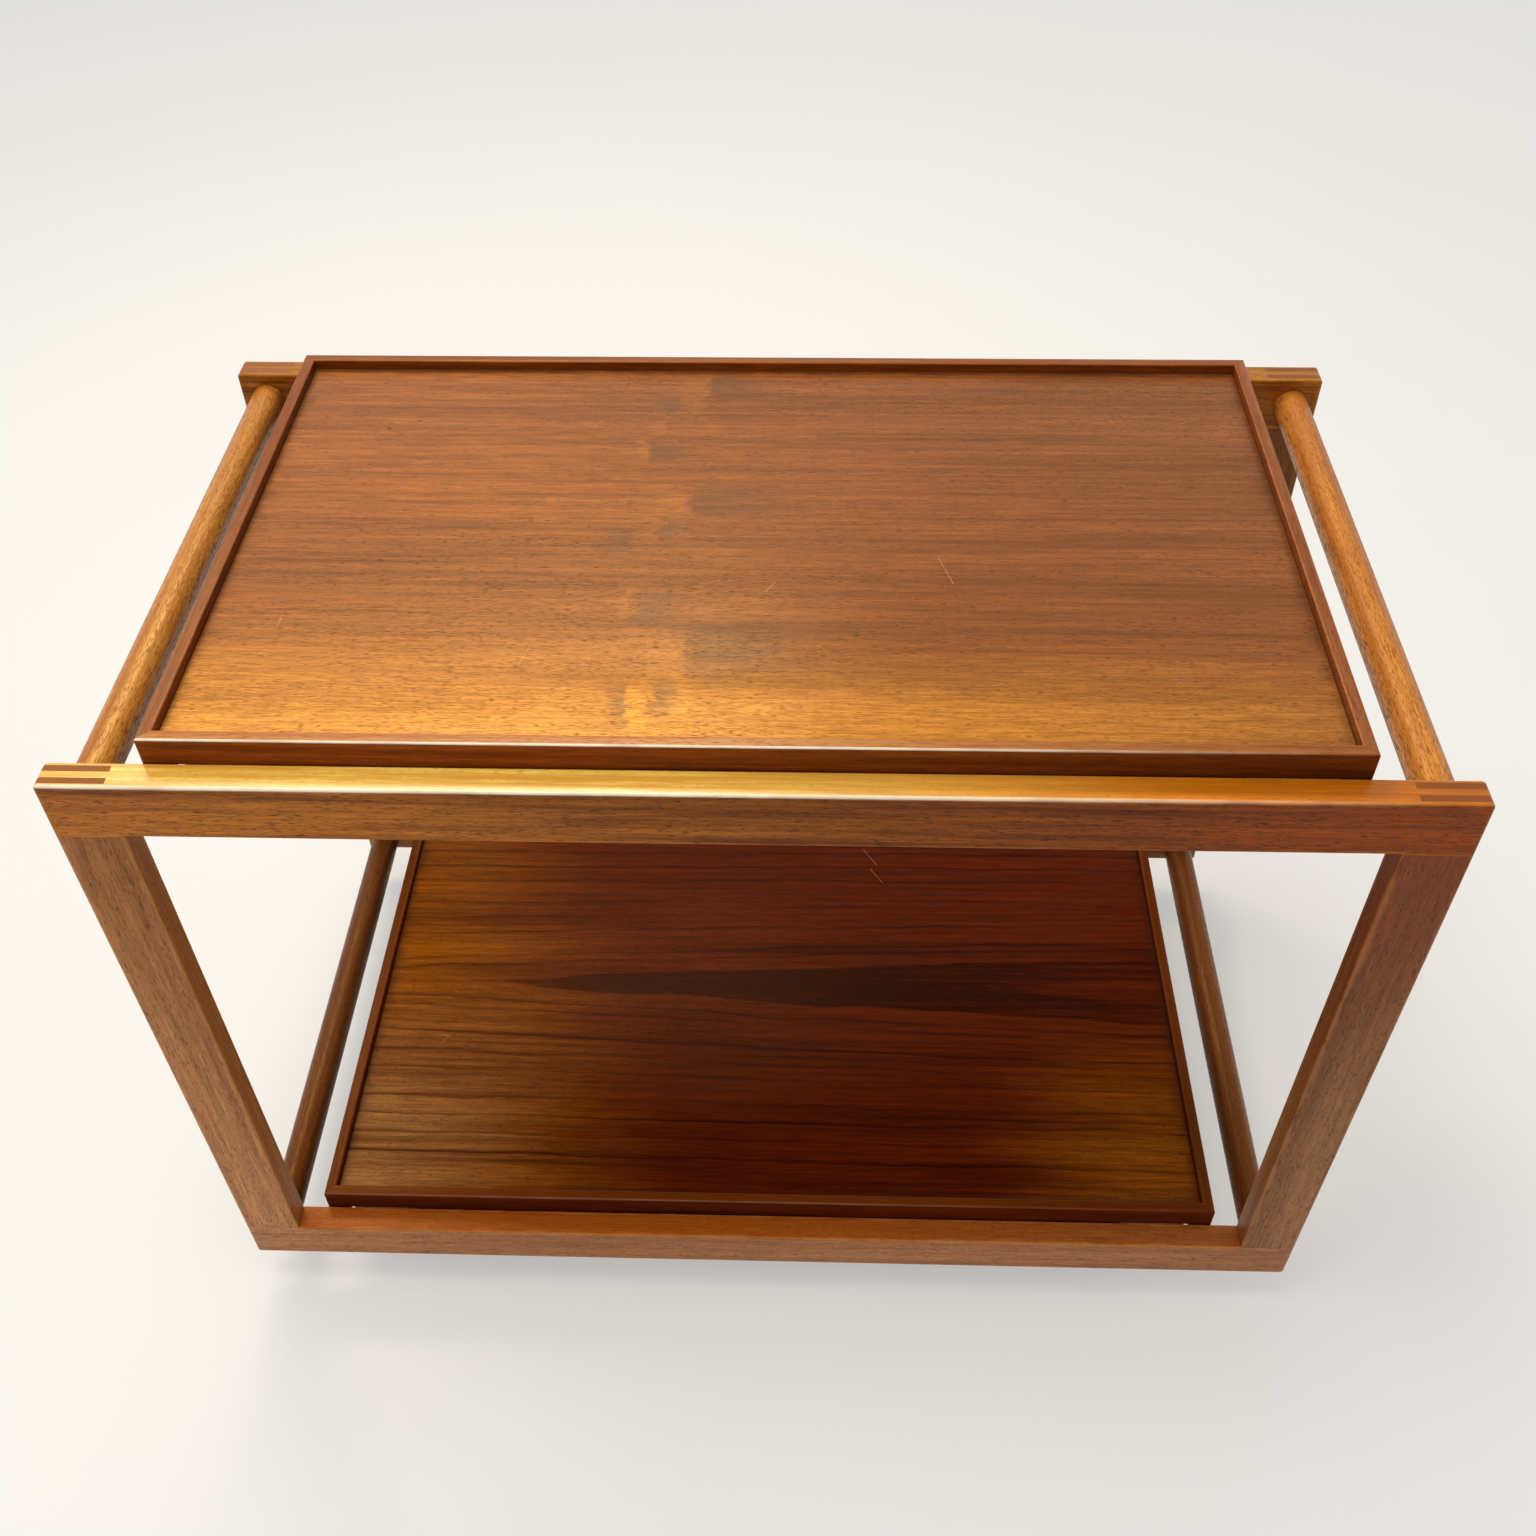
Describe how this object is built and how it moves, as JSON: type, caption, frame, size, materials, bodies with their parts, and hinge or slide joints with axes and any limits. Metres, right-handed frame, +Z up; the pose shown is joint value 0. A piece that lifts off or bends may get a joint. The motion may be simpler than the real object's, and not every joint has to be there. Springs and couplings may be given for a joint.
{
  "type": "serving trolley",
  "caption": "Low wooden serving trolley: rectangular side frames joined by round rods, a lipped lift-off tray on each tier, swivel castors underneath.",
  "frame": {"origin": "on the floor, under the middle of the trolley", "axes": "+X along the length to the right seen from the front, +Y from front to rear, +Z up"},
  "size_m": [0.803, 0.448, 0.5875],
  "materials": {
    "frame_wood": "satin clear lacquer",
    "rod_wood": "satin clear lacquer",
    "lip_wood": "satin clear lacquer",
    "upper_panel_veneer": "satin clear lacquer",
    "lower_panel_veneer": "satin clear lacquer",
    "bearer_wood": "oiled",
    "castor_steel": "zinc plated",
    "bright_steel": "polished",
    "hub_plastic": "moulded",
    "tyre_rubber": "matt",
    "screw_brass": "bright"
  },
  "bodies": {
    "frame": {"front_top_rail": "frame_wood", "front_bottom_rail": "frame_wood", "front_left_stile": "frame_wood", "front_right_stile": "frame_wood", "rear_top_rail": "frame_wood", "rear_bottom_rail": "frame_wood", "rear_left_stile": "frame_wood", "rear_right_stile": "frame_wood", "upper_left_rod": "rod_wood", "upper_right_rod": "rod_wood", "lower_left_rod": "rod_wood", "lower_right_rod": "rod_wood", "upper_left_bearer": "bearer_wood", "upper_right_bearer": "bearer_wood", "lower_left_bearer": "bearer_wood", "lower_right_bearer": "bearer_wood", "front_left_castor_plate": "castor_steel", "front_left_castor_kingpin": "bright_steel", "front_right_castor_plate": "castor_steel", "front_right_castor_kingpin": "bright_steel", "rear_left_castor_plate": "castor_steel", "rear_left_castor_kingpin": "bright_steel", "rear_right_castor_plate": "castor_steel", "rear_right_castor_kingpin": "bright_steel", "castor_screws": "screw_brass"},
    "upper_tray": {"upper_tray_panel": "upper_panel_veneer", "upper_tray_front_lip": "lip_wood", "upper_tray_rear_lip": "lip_wood", "upper_tray_left_lip": "lip_wood", "upper_tray_right_lip": "lip_wood"},
    "lower_tray": {"lower_tray_panel": "lower_panel_veneer", "lower_tray_front_lip": "lip_wood", "lower_tray_rear_lip": "lip_wood", "lower_tray_left_lip": "lip_wood", "lower_tray_right_lip": "lip_wood"},
    "front_left_castor_fork": {"front_left_castor_fork": "castor_steel", "front_left_castor_axle": "bright_steel", "front_left_castor_balls": "bright_steel"},
    "front_left_castor_wheel": {"front_left_castor_wheel_hub": "hub_plastic", "front_left_castor_tyre": "tyre_rubber"},
    "front_right_castor_fork": {"front_right_castor_fork": "castor_steel", "front_right_castor_axle": "bright_steel", "front_right_castor_balls": "bright_steel"},
    "front_right_castor_wheel": {"front_right_castor_wheel_hub": "hub_plastic", "front_right_castor_tyre": "tyre_rubber"},
    "rear_left_castor_fork": {"rear_left_castor_fork": "castor_steel", "rear_left_castor_axle": "bright_steel", "rear_left_castor_balls": "bright_steel"},
    "rear_left_castor_wheel": {"rear_left_castor_wheel_hub": "hub_plastic", "rear_left_castor_tyre": "tyre_rubber"},
    "rear_right_castor_fork": {"rear_right_castor_fork": "castor_steel", "rear_right_castor_axle": "bright_steel", "rear_right_castor_balls": "bright_steel"},
    "rear_right_castor_wheel": {"rear_right_castor_wheel_hub": "hub_plastic", "rear_right_castor_tyre": "tyre_rubber"}
  },
  "joints": [
    {"name": "upper_tray_lift", "type": "slide", "parent": "frame", "child": "upper_tray", "axis": [0, 0, 1], "range_m": [0, 0.25]},
    {"name": "lower_tray_lift", "type": "slide", "parent": "frame", "child": "lower_tray", "axis": [0, 0, 1], "range_m": [0, 0.44]},
    {"name": "front_left_castor_swivel", "type": "hinge", "parent": "frame", "child": "front_left_castor_fork", "pos_m": [-0.3, -0.1655, 0.0508], "axis": [0, 0, 1], "continuous": true},
    {"name": "front_left_castor_roll", "type": "hinge", "parent": "front_left_castor_fork", "child": "front_left_castor_wheel", "pos_m": [-0.314, -0.1655, 0.02], "axis": [0, 1, 0], "continuous": true},
    {"name": "front_right_castor_swivel", "type": "hinge", "parent": "frame", "child": "front_right_castor_fork", "pos_m": [0.3, -0.1655, 0.0508], "axis": [0, 0, 1], "continuous": true},
    {"name": "front_right_castor_roll", "type": "hinge", "parent": "front_right_castor_fork", "child": "front_right_castor_wheel", "pos_m": [0.286, -0.1655, 0.02], "axis": [0, 1, 0], "continuous": true},
    {"name": "rear_left_castor_swivel", "type": "hinge", "parent": "frame", "child": "rear_left_castor_fork", "pos_m": [-0.3, 0.1655, 0.0508], "axis": [0, 0, 1], "continuous": true},
    {"name": "rear_left_castor_roll", "type": "hinge", "parent": "rear_left_castor_fork", "child": "rear_left_castor_wheel", "pos_m": [-0.314, 0.1655, 0.02], "axis": [0, 1, 0], "continuous": true},
    {"name": "rear_right_castor_swivel", "type": "hinge", "parent": "frame", "child": "rear_right_castor_fork", "pos_m": [0.3, 0.1655, 0.0508], "axis": [0, 0, 1], "continuous": true},
    {"name": "rear_right_castor_roll", "type": "hinge", "parent": "rear_right_castor_fork", "child": "rear_right_castor_wheel", "pos_m": [0.286, 0.1655, 0.02], "axis": [0, 1, 0], "continuous": true}
  ]
}
